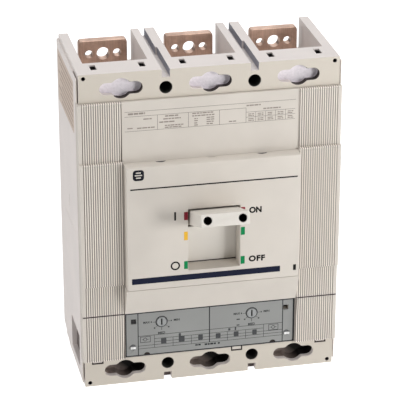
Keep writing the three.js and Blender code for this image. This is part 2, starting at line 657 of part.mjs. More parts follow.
// ---- cover screws -------------------------------------------------------------------------------
const head = { y: -3.4, r: 4 };
const screw = cut(
  join(rod("y", head.y, -0.05, 0, 0, head.r), rod("y", -1, 25, 0, 0, 2, 10)),
  box(-2.4, 2.4, head.y - 1, head.y + 1.4, -0.5, 0.5),
  box(-0.5, 0.5, head.y - 1, head.y + 1.4, -2.4, 2.4),
);
SCREWS.forEach(([x, z], i) => add(root, "cover_screw_" + (i + 1), screw, STEEL, x, LABEL_Y, z));

export default root;
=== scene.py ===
"""Looks of a three-pole molded case breaker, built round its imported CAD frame.

Blender works in metres. Places in this file are in millimetres, +Z up, with the front towards -Y.
"""

import math
import random

import bmesh
import bpy
from mathutils import Matrix, Vector


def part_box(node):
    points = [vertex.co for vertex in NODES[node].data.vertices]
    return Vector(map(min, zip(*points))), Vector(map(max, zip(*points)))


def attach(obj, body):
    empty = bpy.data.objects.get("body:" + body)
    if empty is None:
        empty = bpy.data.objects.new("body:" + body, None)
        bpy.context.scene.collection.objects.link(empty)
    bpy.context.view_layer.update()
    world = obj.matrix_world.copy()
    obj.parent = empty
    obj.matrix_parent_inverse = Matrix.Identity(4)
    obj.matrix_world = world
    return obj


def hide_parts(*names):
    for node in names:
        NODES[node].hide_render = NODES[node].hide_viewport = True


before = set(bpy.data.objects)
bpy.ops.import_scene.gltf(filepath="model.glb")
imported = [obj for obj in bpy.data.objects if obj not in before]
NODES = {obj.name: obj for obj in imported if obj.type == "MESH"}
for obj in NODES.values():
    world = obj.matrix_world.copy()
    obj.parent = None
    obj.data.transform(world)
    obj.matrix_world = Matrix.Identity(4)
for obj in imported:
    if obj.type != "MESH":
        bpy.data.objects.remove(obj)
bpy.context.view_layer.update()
MM = 0.001

# ---- places taken from the frame, in millimetres -------------------------------------------------


def span(node, axis):
    """(lowest, highest) of a CAD node along axis 0, 1 or 2, in millimetres."""
    low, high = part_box(node)
    return low[axis] / MM, high[axis] / MM


ESC_FRONT = span("escutcheon", 1)[0]
ESC_TOP = span("escutcheon", 2)[1]
PANEL_FRONT = span("trip_unit_face", 1)[0]
SIDE_X = span("base", 0)[0]
FLOOR_Z = span("base", 2)[0]
POLES = [sum(span(f"upper_terminal_{k}", 0)) / 2 for k in (1, 2, 3)]
GAPS = [(POLES[0] + POLES[1]) / 2, (POLES[1] + POLES[2]) / 2]

# ---- other places and sizes of the case, in millimetres ------------------------------------------

# Planes: label plane, terminal sections (front and end), apron, ribbed cheeks before the sections.
LABEL_FRONT = -101.0
SECTION_FRONT = -98.3
SECTION_END = 134.0
APRON_FRONT = -102
CHEEK_PROUD = 3.2
# Openings in the terminal sections and the handle.
HOLE_Z = 119.3
MOUNT_BORE = {"outer": 5.3, "inner": 4.95, "depth": 94}
CORNER_HOLE = {"x": 99, "z": 130.8, "outer": 1.9, "inner": 1.5}
ACCESS = {"z": 121.2, "lobe": 11.9, "r": 8.3, "r_lobe": 5.0, "fillet": 2.5}
POCKET = {"dx": 19, "half": 2.4, "y0": -88.4, "y1": -77.9}
SIDE_RECESS = {"depth": 4.2, "y": (-83.7, -44.3), "z": (-122.2, -94.8)}
HANDLE_TILT = math.radians(20)
HANDLE_PIVOT = Vector((0, -60, -5))
HANDLE_TIP = -98.4
HANDLE_BORE = {"x": 13.8, "outer": 3.5, "inner": 3.05}
WINDOW = {"x": 21, "z0": -31}
TOOL_SLOTS = {"xs": (-40.5, 40.5), "depth": 2.8, "r": 5.1}
# Gaps between the covers, with the reach of the painted gap shade round the clip tongues.
SPLIT = -70.2
SPLIT_X = (70.4, 104.1)
TONGUE = {"xs": (-92.5, 22.25, 92.6), "half": 3.6, "z0": -113.2, "z1": -110.8}
GAP_SHADE_REACH = {"near": 0.1, "far": 1.1, "below": 1.3}
NOTCH = {"x": 52.2, "z": -110.2, "r": 2.7}
# Adjusters on the grey face, by body, and the main springs.
DIALS = {"thermal_adjuster": (-40.0, -81.0), "magnetic_adjuster": (34.4, -81.0)}
SPRING = {"x": 14.2, "along": (0, -52.5, -18), "length": 49.8, "radius": 2.4, "wire": 0.55, "turns": 14}

# ---- node helpers --------------------------------------------------------------------------------


class Nodes:
    """A thin wrapper that builds a material's node tree one call at a time."""

    def __init__(self, name):
        self.material = bpy.data.materials.new(name)
        self.material.use_nodes = True
        self.tree = self.material.node_tree
        self.shader = self.tree.nodes["Principled BSDF"]

    def add(self, kind, **inputs):
        node = self.tree.nodes.new(kind)
        for key, value in inputs.items():
            self.put(node, key, value)
        return node

    def put(self, node, key, value):
        """Sets a property (p_name), or links or fills an input: i0 by number, or Base_Color by name."""
        if key.startswith("p_"):
            setattr(node, key[2:], value)
            return
        numbered = key[0] == "i" and key[1:].isdigit()
        socket = node.inputs[int(key[1:]) if numbered else key.replace("_", " ")]
        if hasattr(value, "is_output"):
            self.tree.links.new(value, socket)
        else:
            socket.default_value = value

    def coords(self, scale=(1, 1, 1)):
        """Object coordinates in millimetres, stretched by scale."""
        place = self.add("ShaderNodeTexCoord")
        mapping = self.add("ShaderNodeMapping", Vector=place.outputs["Object"])
        mapping.inputs["Scale"].default_value = [s / MM for s in scale]
        return mapping.outputs["Vector"]

    def noise(self, vector, scale, detail=3.0, roughness=0.55):
        node = self.add("ShaderNodeTexNoise", Vector=vector, Scale=scale, Detail=detail, Roughness=roughness)
        return node.outputs["Fac"]

    def ramp(self, value, low, high, to_low=0.0, to_high=1.0):
        node = self.add("ShaderNodeMapRange", Value=value)
        node.inputs["From Min"].default_value = low
        node.inputs["From Max"].default_value = high
        node.inputs["To Min"].default_value = to_low
        node.inputs["To Max"].default_value = to_high
        return node.outputs["Result"]

    def mix(self, factor, a, b):
        node = self.add("ShaderNodeMix", p_data_type="RGBA")
        self.put(node, "i0", factor)
        for index, value in ((6, a), (7, b)):
            if hasattr(value, "is_output"):
                self.tree.links.new(value, node.inputs[index])
            else:
                node.inputs[index].default_value = (*value, 1)
        return node.outputs[2]

    def math(self, operation, a, b=0.0):
        node = self.add("ShaderNodeMath", p_operation=operation)
        self.put(node, "i0", a)
        self.put(node, "i1", b)
        return node.outputs[0]

    def edges(self, radius):
        """Near 1 along sharp edges and near 0 on open faces."""
        bevel = self.add("ShaderNodeBevel", p_samples=4, Radius=radius * MM)
        place = self.add("ShaderNodeNewGeometry")
        dot = self.add("ShaderNodeVectorMath", p_operation="DOT_PRODUCT")
        self.tree.links.new(bevel.outputs[0], dot.inputs[0])
        self.tree.links.new(place.outputs["Normal"], dot.inputs[1])
        return self.ramp(dot.outputs["Value"], 1.0, 0.86)

    def bump(self, height, strength, distance, under=None):
        node = self.add("ShaderNodeBump", Height=height, Strength=strength, Distance=distance * MM)
        if under is not None:
            self.tree.links.new(under, node.inputs["Normal"])
        return node.outputs["Normal"]

    def finish(self, **inputs):
        for key, value in inputs.items():
            self.put(self.shader, key, value)
        return self.material


def rgb(r, g, b):
    """A colour given as screen values 0..255, as the linear values that shaders take."""
    return tuple((c / 255 / 12.92) if c / 255 <= 0.04045 else ((c / 255 + 0.055) / 1.055) ** 2.4
                 for c in (r, g, b))


def shade(colour, factor):
    return tuple(min(1.0, c * factor) for c in colour)


# ---- materials -----------------------------------------------------------------------------------


def in_grooves(n, place):
    """Two masks for the ribbed cheeks: the whole ribbed face, lightened as a painted highlight on the rib
    tops, and the middle of each groove, which gets painted shade.
    """
    across = n.math("ABSOLUTE", place["X"])
    inside = n.math("MULTIPLY", n.ramp(across, RIBS["from"] * MM, (RIBS["from"] + 0.1) * MM),
                    n.ramp(across, RIBS["to"] * MM, (RIBS["to"] - 0.1) * MM))
    face = n.math("MULTIPLY", inside, n.ramp(place["Y"], RIBS["floor"] * MM, (RIBS["floor"] - 0.1) * MM))
    off = n.math("SUBTRACT", across, RIBS["first"] * MM)
    distance = n.math("PINGPONG", off, RIBS["pitch"] / 2 * MM)
    return face, n.math("MULTIPLY", face, n.ramp(distance, RIBS["dark"] * MM, RIBS["dark"] * 0.55 * MM))


def in_barrier_slots(n, place):
    """A mask for the walls of the slots for the phase barriers, between the upper terminal bays, where
    painted shade goes.
    """
    off = n.math("ABSOLUTE", n.math("SUBTRACT", n.math("ABSOLUTE", place["X"]), GAPS[1] * MM))
    near = n.ramp(off, 3.6 * MM, 3.4 * MM)
    return n.math("MULTIPLY", near, n.ramp(place["Z"], 100 * MM, 101 * MM))


def molded(name, colour, roughness=0.5, grain=0.03, mottle=0.045, wear=0.25, rib_light_and_shade=False, front=None):
    """Glass-filled molded plastic: a fine spark-eroded grain, faint mottling and rubbed edges.

    rib_light_and_shade paints a highlight on the rib tops of the cheeks and shade into their grooves. front
    is a darker tone painted on the faces that look forward as painted shade, and the walls of the barrier
    slots get painted shade as well."""
    n = Nodes(name)
    at = n.coords()
    split = n.add("ShaderNodeSeparateXYZ", Vector=n.add("ShaderNodeTexCoord").outputs["Object"])
    facing = n.add("ShaderNodeSeparateXYZ", Vector=n.add("ShaderNodeNewGeometry").outputs["Normal"])
    broad = n.noise(at, 0.03, 2.0)
    fine = n.noise(at, 2.6, 2.0, 0.6)
    speck = n.noise(at, 0.9, 4.0, 0.7)
    body = n.mix(n.ramp(broad, 0.3, 0.7), shade(colour, 1 - mottle), shade(colour, 1 + mottle * 0.6))
    body = n.mix(n.ramp(speck, 0.62, 0.75, 0.0, 0.35), body, shade(colour, 0.86))
    edge = n.math("MULTIPLY", n.edges(0.35), n.ramp(n.noise(at, 0.25, 3.0), 0.35, 0.7, 0.2, 1.0))
    body = n.mix(n.math("MULTIPLY", edge, wear), body, shade(colour, 1.22))
    if front:
        # Painted shade: faces that look forward, outside the bays, take the darker front tone because they
        # get less light than the top and sides.
        outside = n.ramp(split.outputs["Y"], -90 * MM, -95 * MM)
        body = n.mix(n.math("MULTIPLY", outside, n.ramp(facing.outputs["Y"], -0.6, -0.9)), body, front)
        # Painted shade on the walls of the barrier slots.
        wall = n.math("MULTIPLY", in_barrier_slots(n, split.outputs),
                      n.ramp(n.math("ABSOLUTE", facing.outputs["X"]), 0.5, 0.7))
        body = n.mix(wall, body, BARRIER_SLOT_SHADE)
    if rib_light_and_shade:
        # Painted highlight on the rib tops and painted shade in the middle of each groove.
        face, groove_shade = in_grooves(n, split.outputs)
        body = n.mix(face, body, shade(colour, 1.27))
        body = n.mix(groove_shade, body, GROOVE_SHADE)
    rough = n.ramp(n.math("ADD", n.math("MULTIPLY", broad, 0.5), n.math("MULTIPLY", speck, 0.5)), 0.3, 0.7,
                   roughness - 0.07, roughness + 0.09)
    normal = n.bump(fine, 0.5, grain)
    normal = n.bump(n.noise(at, 0.045, 1.0), 0.35, 0.35, normal)
    return n.finish(Base_Color=body, Roughness=rough, Normal=normal, Specular_IOR_Level=0.4)


def metal(name, colour, dark, roughness=0.35, stretch=(1, 1, 1), stain=0.5):
    """Rolled or machined metal: brushed along one way, with stains and brighter edges."""
    n = Nodes(name)
    at = n.coords()
    lines = n.noise(n.coords(stretch), 1.0, 5.0, 0.65)
    cloud = n.noise(at, 0.07, 5.0, 0.6)
    body = n.mix(n.ramp(lines, 0.35, 0.68), shade(colour, 0.84), shade(colour, 1.1))
    body = n.mix(n.math("MULTIPLY", n.ramp(cloud, 0.42, 0.72), stain), body, dark)
    edge = n.math("MULTIPLY", n.edges(0.3), 0.6)
    body = n.mix(edge, body, shade(colour, 1.35))
    rough = n.ramp(n.math("ADD", n.math("MULTIPLY", lines, 0.5), n.math("MULTIPLY", cloud, 0.5)), 0.3, 0.7,
                   roughness - 0.09, roughness + 0.12)
    return n.finish(Base_Color=body, Roughness=rough, Normal=n.bump(lines, 0.45, 0.02), Metallic=1.0)


def woven(name, colour, dark, pitch=0.9):
    """Flat braided copper strand: two crossing sets of fine waves."""
    n = Nodes(name)
    waves = []
    for turn in (0.7, -0.7):
        place = n.add("ShaderNodeTexCoord")
        mapping = n.add("ShaderNodeMapping", Vector=place.outputs["Object"])
        mapping.inputs["Scale"].default_value = (1 / MM,) * 3
        mapping.inputs["Rotation"].default_value = (turn, turn, 0)
        wave = n.add("ShaderNodeTexWave", Vector=mapping.outputs["Vector"], Scale=1 / pitch, Distortion=0.4)
        waves.append(wave.outputs["Fac"])
    weave = n.math("MULTIPLY", waves[0], waves[1])
    body = n.mix(n.ramp(weave, 0.1, 0.8), dark, colour)
    return n.finish(Base_Color=body, Roughness=n.ramp(weave, 0, 1, 0.55, 0.3), Metallic=0.9,
                    Normal=n.bump(weave, 0.8, 0.12))


def ink(name, colour, roughness=0.42):
    """Screen-printed ink: nearly flat, with pinholes and a faintly uneven film."""
    n = Nodes(name)
    at = n.coords()
    film = n.noise(at, 0.5, 4.0, 0.7)
    body = n.mix(n.ramp(film, 0.3, 0.75), shade(colour, 0.88), shade(colour, 1.12))
    return n.finish(Base_Color=body, Roughness=n.ramp(film, 0.3, 0.7, roughness - 0.05, roughness + 0.1),
                    Specular_IOR_Level=0.18, Normal=n.bump(n.noise(at, 3.0, 2.0), 0.3, 0.01))


def raised_bar(name, bar, head, level):
    """A moulded head in one colour, with the bar that stands in front of level in another."""
    n = Nodes(name)
    at = n.coords()
    place = n.add("ShaderNodeTexCoord")
    split = n.add("ShaderNodeSeparateXYZ", Vector=place.outputs["Object"])
    front = n.ramp(split.outputs["Y"], (level + 0.05) * MM, (level - 0.05) * MM)
    body = n.mix(front, shade(head, 0.9), bar)
    body = n.mix(n.ramp(n.noise(at, 0.8, 3.0), 0.45, 0.75, 0.0, 0.25), body, shade(head, 1.1))
    return n.finish(Base_Color=body, Roughness=n.ramp(n.noise(at, 1.5), 0.3, 0.7, 0.35, 0.5),
                    Normal=n.bump(n.noise(at, 2.6, 2.0), 0.4, 0.012))


def dark_well(name, dark, lit):
    """Painted shade and light for the back of the lower access openings: dark, with painted light on its
    lower left side.
    """
    n = Nodes(name)
    at = n.coords()
    split = n.add("ShaderNodeSeparateXYZ", Vector=n.add("ShaderNodeTexCoord").outputs["Object"])
    pitch = (POLES[1] - POLES[0]) * MM
    wrap = n.add("ShaderNodeMath", p_operation="WRAP", i0=split.outputs["X"], i1=pitch / 2, i2=-pitch / 2)
    off = wrap.outputs[0]
    slope = n.math("ADD", off, n.math("MULTIPLY", n.math("ADD", split.outputs["Z"], ACCESS["z"] * MM), 1.2))
    body = n.mix(n.ramp(slope, -1 * MM, -17 * MM), dark, lit)
    body = n.mix(n.ramp(n.noise(at, 0.4, 3.0), 0.4, 0.75, 0.0, 0.3), body, shade(dark, 1.5))
    return n.finish(Base_Color=body, Roughness=n.ramp(n.noise(at, 1.2), 0.3, 0.7, 0.6, 0.75),
                    Specular_IOR_Level=0.2, Normal=n.bump(n.noise(at, 2.2), 0.4, 0.02))


BEIGE = rgb(210, 203, 194)
CASE = rgb(229, 221, 217)
GREY_SHEET = rgb(148, 149, 147)
# Painted shade: the darker tone of the case's forward faces, of the barrier slot walls and of the rib
# grooves.
CASE_FRONT_SHADE = rgb(207, 199, 187)
BARRIER_SLOT_SHADE = rgb(158, 158, 168)
GROOVE_SHADE = rgb(134, 123, 119)
# dark is the half-width of the painted shade in each groove.
RIBS = {"from": 70.3, "to": 101.9, "floor": -99.0, "first": 70.75, "pitch": 1.79, "dark": 0.45}

MATERIALS = {
    "case_plastic": molded("case_plastic", CASE, 0.5, front=CASE_FRONT_SHADE),
    "cover_plastic": molded("cover_plastic", BEIGE, 0.5, rib_light_and_shade=True),
    "handle_plastic": molded("handle_plastic", rgb(219, 214, 206), 0.4, 0.015, 0.03),
    "grey_plate": molded("grey_plate", GREY_SHEET, 0.45, 0.02, 0.05, 0.4),
    "dial_plastic": molded("dial_plastic", rgb(158, 160, 160), 0.4, 0.012, 0.04),
    "fastener_nylon": raised_bar("fastener_nylon", rgb(244, 244, 242), rgb(112, 114, 116), PANEL_FRONT - 0.6),
    "black_plastic": molded("black_plastic", rgb(34, 33, 34), 0.4, 0.02, 0.1),
    "copper": metal("copper", rgb(212, 181, 163), rgb(134, 108, 95), 0.42, (1.2, 0.6, 0.06), 0.55),
    "copper_braid": woven("copper_braid", rgb(200, 140, 104), rgb(96, 56, 38)),
    "silver_alloy": metal("silver_alloy", rgb(205, 204, 198), rgb(150, 146, 138), 0.3, (0.6, 0.6, 0.6), 0.3),
    "steel": metal("steel", rgb(172, 173, 174), rgb(110, 108, 104), 0.38, (0.1, 1.0, 1.0), 0.4),
    "spring_steel": metal("spring_steel", rgb(120, 122, 126), rgb(74, 72, 70), 0.3, (1, 1, 1), 0.3),
    "bimetal": metal("bimetal", rgb(190, 182, 164), rgb(140, 122, 98), 0.35, (0.1, 1.0, 1.0), 0.35),
    "fibre": molded("fibre", rgb(134, 104, 82), 0.7, 0.05, 0.14, 0.4),
    "dark_resin": molded("dark_resin", rgb(58, 54, 52), 0.5, 0.04, 0.12, 0.3),
}
INKS = {
    "black": ink("ink_black", rgb(22, 19, 18)),
    "line": ink("ink_line", rgb(120, 110, 102)),
    "faint": ink("ink_faint", rgb(150, 140, 132)),
    "panel": ink("ink_panel", rgb(50, 51, 54)),
    "panel_grey": ink("ink_panel_grey", rgb(74, 75, 77)),
    "blue": ink("ink_blue", rgb(12, 20, 46)),
    "badge": ink("ink_badge", rgb(18, 20, 30)),
    "pale": ink("ink_pale", rgb(206, 200, 192)),
    "red": ink("ink_red", rgb(132, 28, 44)),
    "yellow": ink("ink_yellow", rgb(226, 176, 56)),
    "green": ink("ink_green", rgb(0, 130, 74)),
    "tan": ink("ink_tan", rgb(204, 186, 172)),
    "brown": ink("ink_brown", rgb(158, 136, 120)),
    # Painted shade: dark strips in the gaps between pieces and along the walls of the upper openings.
    "gasket": ink("ink_gasket", rgb(58, 50, 48)),
    # Painted light: the pale cap stands in for the lit bay seen through the upper openings.
    "cap": ink("ink_painted_light_cap", rgb(232, 226, 231)),
    # Painted shade: dark linings in the square pockets and corner holes, and in the tool slots.
    "pocket": ink("ink_hole_shade", rgb(52, 48, 50)),
    # A darker tone: painted shade in the bottom barrier slots, and a darker floor in the side recesses.
    "recess": ink("ink_recess", rgb(100, 90, 88)),
    # Painted shade and light: the dark back of the lower openings, with painted light on its lower left side.
    "well": dark_well("ink_well", rgb(30, 27, 26), rgb(150, 136, 128)),
    # Painted shade: dark linings in the mounting bores.
    "bushing": ink("ink_bore_shade", rgb(66, 66, 62)),
}

# ---- CAD nodes: welded, edges rounded, and given their finish ------------------------------------

EDGE_ANGLE = math.radians(40)
EDGE_ROUND = {"case_plastic": 0.4, "cover_plastic": 0.3, "copper": 0.35, "handle_plastic": 0.6}
DEFAULT_ROUND = 0.18


def round_edges(obj, width, segments=2):
    """Joins the facets, rounds the sharp edges and shades each face evenly."""
    weld = obj.modifiers.new("weld", "WELD")
    weld.merge_threshold = 0.002 * MM
    bevel = obj.modifiers.new("round", "BEVEL")
    bevel.width = width * MM
    bevel.segments = segments
    bevel.limit_method = "ANGLE"
    bevel.angle_limit = EDGE_ANGLE
    bevel.miter_outer = "MITER_ARC"
    bevel.harden_normals = True


for node in NODES.values():
    slot = node.material_slots[0].material.name.split(".")[0]
    if "custom_normal" in node.data.attributes:
        node.data.attributes.remove(node.data.attributes["custom_normal"])
    if slot == "handle_plastic":
        node.data.shade_flat()
    else:
        node.data.shade_smooth()
    node.material_slots[0].material = MATERIALS[slot]
    round_edges(node, EDGE_ROUND.get(slot, DEFAULT_ROUND))

# ---- printed graphics ----------------------------------------------------------------------------

LIFT = 0.05


class Sheet:
    """Thin closed shapes on one plane. u runs across and v runs up, in millimetres."""

    def __init__(self, side, level):
        self.bm = bmesh.new()
        self.side = side
        self.level = level

    def at(self, u, v, out):
        if self.side == "front":
            return Vector((u, self.level - out, v)) * MM
        if self.side == "top":
            return Vector((u, v, self.level + out)) * MM
        return Vector((self.level - out, u, v)) * MM

    def loop(self, outline, out):
        return [self.bm.verts.new(self.at(u, v, out)) for u, v in outline]

    def shape(self, outline):
        front, back = self.loop(outline, LIFT), self.loop(outline, -LIFT)
        self.bm.faces.new(front)
        self.bm.faces.new(back[::-1])
        for i in range(len(outline)):
            self.bm.faces.new((front[i], front[i - 1], back[i - 1], back[i]))

    def band(self, outer, inner):
        """A closed band between two outlines with the same number of points."""
        a, b, c, d = (self.loop(line, out) for line, out in
                      ((outer, LIFT), (inner, LIFT), (inner, -LIFT), (outer, -LIFT)))
        for i in range(len(outer)):
            for p, q in ((a, b), (b, c), (c, d), (d, a)):
                self.bm.faces.new((p[i], p[i - 1], q[i - 1], q[i]))

    def bar(self, u0, u1, v0, v1):
        self.shape(rectangle(u0, u1, v0, v1))

    def line(self, start, end, width):
        du, dv = end[0] - start[0], end[1] - start[1]
        n = math.hypot(du, dv) * 2 / width
        side = (-dv / n, du / n)
        self.shape([(p[0] + k * side[0], p[1] + k * side[1]) for p, k in
                    ((start, -1), (end, -1), (end, 1), (start, 1))])

    def frame(self, u0, u1, v0, v1, width):
        self.band(rectangle(u0, u1, v0, v1),
                  rectangle(u0 + width, u1 - width, v0 + width, v1 - width))

    def ring(self, u, v, radius, width):
        self.band(circle(radius, 40, u, v), circle(radius - width, 40, u, v))

    def words(self, u0, u1, v, height, seed, gap=0.8):
        """A row of short bars in place of a line of small print."""
        dice = random.Random(seed)
        u = u0
        while u < u1 - 0.7:
            end = min(u1, u + dice.uniform(1.4, 4.4))
            self.bar(u, end, v - height / 2, v + height / 2)
            u = end + gap

    def lettering(self, word, u0, u1, v0, v1, weight=0.025, spacing=1.0):
        """A word fitted into a box."""
        curve = bpy.data.curves.new("lettering", "FONT")
        curve.body = word
        curve.extrude = LIFT
        curve.offset = weight
        curve.space_character = spacing
        holder = bpy.data.objects.new("lettering", curve)
        bpy.context.scene.collection.objects.link(holder)
        bpy.context.view_layer.update()
        mesh = bpy.data.meshes.new_from_object(holder.evaluated_get(bpy.context.evaluated_depsgraph_get()))
        bpy.data.objects.remove(holder)
        left, right = min(v.co.x for v in mesh.vertices), max(v.co.x for v in mesh.vertices)
        low, high = min(v.co.y for v in mesh.vertices), max(v.co.y for v in mesh.vertices)
        across, up = (u1 - u0) / (right - left), (v1 - v0) / (high - low)
        made = [self.bm.verts.new(self.at(u0 + (v.co.x - left) * across, v0 + (v.co.y - low) * up, v.co.z))
                for v in mesh.vertices]
        for face in mesh.polygons:
            self.bm.faces.new([made[i] for i in face.vertices])

    def build(self, name, material, body="case", slot=None):
        return build(self.bm, name, material, body)


def build(bm, name, material, body, smooth_below=0.0):
    """Turns a bmesh into a piece that rides on a body. Edges flatter than smooth_below are shaded smooth."""
    bmesh.ops.remove_doubles(bm, verts=bm.verts, dist=1e-7)
    bmesh.ops.recalc_face_normals(bm, faces=bm.faces)
    for face in bm.faces:
        face.smooth = smooth_below > 0
    for edge in bm.edges:
        edge.smooth = len(edge.link_faces) == 2 and edge.calc_face_angle() < smooth_below
    mesh = bpy.data.meshes.new(name)
    bm.to_mesh(mesh)
    bm.free()
    mesh.materials.append(material)
    piece = bpy.data.objects.new(name, mesh)
    bpy.context.scene.collection.objects.link(piece)
    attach(piece, body)
    return piece


def rectangle(u0, u1, v0, v1):
    return [(u0, v0), (u1, v0), (u1, v1), (u0, v1)]


def circle(radius, count=32, u=0.0, v=0.0):
    turn = 2 * math.pi / count
    return [(u + radius * math.cos(k * turn), v + radius * math.sin(k * turn)) for k in range(count)]


def rounded(u0, u1, v0, v1, radius, steps=6):
    corners = ((u1 - radius, v1 - radius, 0), (u0 + radius, v1 - radius, 1),
               (u0 + radius, v0 + radius, 2), (u1 - radius, v0 + radius, 3))
    return [(u + radius * math.cos((quarter + k / steps) * math.pi / 2),
             v + radius * math.sin((quarter + k / steps) * math.pi / 2))
            for u, v, quarter in corners for k in range(steps + 1)]


def print_escutcheon():
    black = Sheet("front", ESC_FRONT)
    black.bar(-66.6, 67, 41.65, 42.75)
    black.shape(rounded(-32.05, -30.55, 13.3, 20.5, 0.3))
    black.ring(-31.3, -25.9, 3.8, 1.25)
    black.lettering("ON", 28.1, 38.2, 14.0, 19.3, 0.05)
    black.lettering("OFF", 28.1, 41.4, -28.2, -23.0, 0.05, 1.12)
    black.bar(64.6, 67, -39.2, -34.2)
    black.build("escutcheon_print_black", INKS["black"], slot="black_plastic")

    blue = Sheet("front", ESC_FRONT)
    blue.shape(rounded(-66.2, 53.9, -39.2, -34.2, 0.4))
    blue.build("escutcheon_stripe_blue", INKS["blue"])

    marks = {
        "red": ((-24.2, -21.1, 12.9, 19.8), (21.5, 24.8, 12.9, 19.8)),
        "yellow": ((-24.2, -21.2, -4.4, 2.9),),
        "green": ((-24.3, -21.2, -29.4, -22.6), (21.5, 24.8, -4.1, 2.7), (21.5, 24.8, -29.4, -22.6)),
    }
    for colour, places in marks.items():
        sheet = Sheet("front", ESC_FRONT)
        for place in places:
            sheet.shape(rounded(*place, 0.35))
        sheet.build("escutcheon_mark_" + colour, INKS[colour])

    badge = Sheet("front", ESC_FRONT)
    badge.shape(rounded(-64.4, -55.6, 49.5, 58.4, 2.4))
    badge.build("escutcheon_badge", INKS["badge"])
    bars = Sheet("front", ESC_FRONT - LIFT / 2)
    for v, half in ((56.1, 2.0), (54.0, 2.9), (51.9, 2.0)):
        bars.shape(rounded(-60 - half, -60 + half, v - 0.5, v + 0.5, 0.4))
    bars.build("escutcheon_badge_bars", INKS["pale"])


TABLE = {"top": -92.5, "rows": (-95.9, -98.8, -101.3, -103.9), "left": -59.3, "right": 60.3}


def print_panel():
    """Settings printed on the grey face of the trip unit: frames, scales and an empty rating table, with
    painted shadow lines along the face's edges and round the dials.
    """
    left, right, top, rows = TABLE["left"], TABLE["right"], TABLE["top"], TABLE["rows"]
    dark = Sheet("front", PANEL_FRONT)
    for x in (left, right):
        dark.bar(x - 0.35, x + 0.35, -110.0, -71.2)
    dark.bar(-1.0, -0.2, rows[-1], -71.2)
    # Painted shadow lines along the top, sides and bottom edges of the grey face.
    dark.bar(-70, 70, -72.3, -70.9)
    for x in (-69.4, 69.4):
        dark.bar(x - 0.6, x + 0.6, -110.2, -72.3)
    dark.bar(-70, 70, -110.3, -109.4)
    dark.bar(left, right, top - 0.17, top + 0.17)
    for z, ends in zip(rows, ((-46, 44.5), (-46, right), (left, right), (left, right))):
        dark.bar(*ends, z - 0.15, z + 0.15)
    columns = ((-46, top), (-30.7, rows[0]), (-15.6, rows[0]), (14.4, rows[0]), (29.5, rows[0]), (44.5, top))
    for x, high in columns:
        dark.bar(x - 0.16, x + 0.16, rows[-1], high)
    for u0, u1 in ((-57.6, -49.2), (48.6, 56.8)):
        dark.frame(u0, u1, -98.6, -93.2, 0.4)
        middle = (u0 + u1) / 2
        dark.ring(middle - 0.2, -95.9, 1.5, 0.4)
        dark.line((middle - 2.6, -95.9), (middle - 1.6, -95.9), 0.4)
        dark.line((middle + 1.2, -95.9), (middle + 2.6, -95.9), 0.4)
    for x, z in DIALS.values():
        # A dark ring round each dial, painted as the shadow of its gap.
        dark.ring(x, z, 4.95, 0.6)
        dark.line((x - 7.2, z), (x - 5.2, z), 0.3)
        dark.line((x + 5.2, z), (x + 6.8, z), 0.3)
        dark.bar(x + 7.4, x + 8.4, z - 0.5, z + 0.6)
        dark.line((x, z - 5.1), (x, z - 7.6), 0.4)
        for side in (-1, 1):
            dark.line((x + side * 3.6, z - 3.6), (x + side * 5.0, z - 4.6), 0.25)
            dark.bar(x + side * 5.8 - 0.6, x + side * 5.8 + 0.6, z - 5.9, z - 4.8)
        dark.lettering("MAX", x - 15.0, x - 9.6, z - 0.6, z + 1.3)
        dark.bar(x - 8.9, x - 8.0, z - 0.3, z + 0.9)
        dark.lettering("MIN", x + 10.0, x + 14.8, z - 0.6, z + 1.3)
        dark.lettering("MED", x - 2.9, x + 2.8, z - 11.2, z - 9.1)
    dark.words(-12.4, -7.8, -105.4, 1.3, 3, 0.4)
    dark.words(-4.6, 4.8, -105.6, 1.5, 4, 0.4)
    dark.words(6.4, 8.0, -105.6, 1.5, 5, 0.4)
    dark.words(21.9, 24.6, -85.8, 0.9, 6, 0.4)
    dark.words(21.9, 24.4, -91.0, 0.9, 7, 0.4)
    dark.build("panel_print", INKS["panel"], slot="black_plastic")

    grey = Sheet("front", PANEL_FRONT - LIFT / 2)
    for u0, u1, v1 in ((-40.6, -36.2, -96.2), (-26.0, -21.2, -96.0), (-9.9, -6.1, -96.3),
                       (4.6, 8.6, -96.7), (19.6, 23.6, -96.6), (35.1, 38.8, -96.5)):
        grey.shape(rounded(u0, u1, -101.0, v1, 0.5))
    grey.shape(rounded(-26.0, -24.2, -96.2, -93.2, 0.3))
    grey.shape(rounded(15.0, 16.8, -95.2, -93.2, 0.3))
    grey.shape(rounded(20.4, 21.6, -95.4, -92.6, 0.2))
    grey.build("panel_blocks", INKS["panel_grey"], slot="black_plastic")

    for name, (x, z) in DIALS.items():
        # Painted shade: a black bar at the floor of each dial's screwdriver slot.
        slot = Sheet("front", PANEL_FRONT + 0.15)
        slot.bar(x - 0.58, x + 0.58, z - 2.95, z + 2.95)
        slot.build(name + "_slot", INKS["black"], name, "black_plastic")


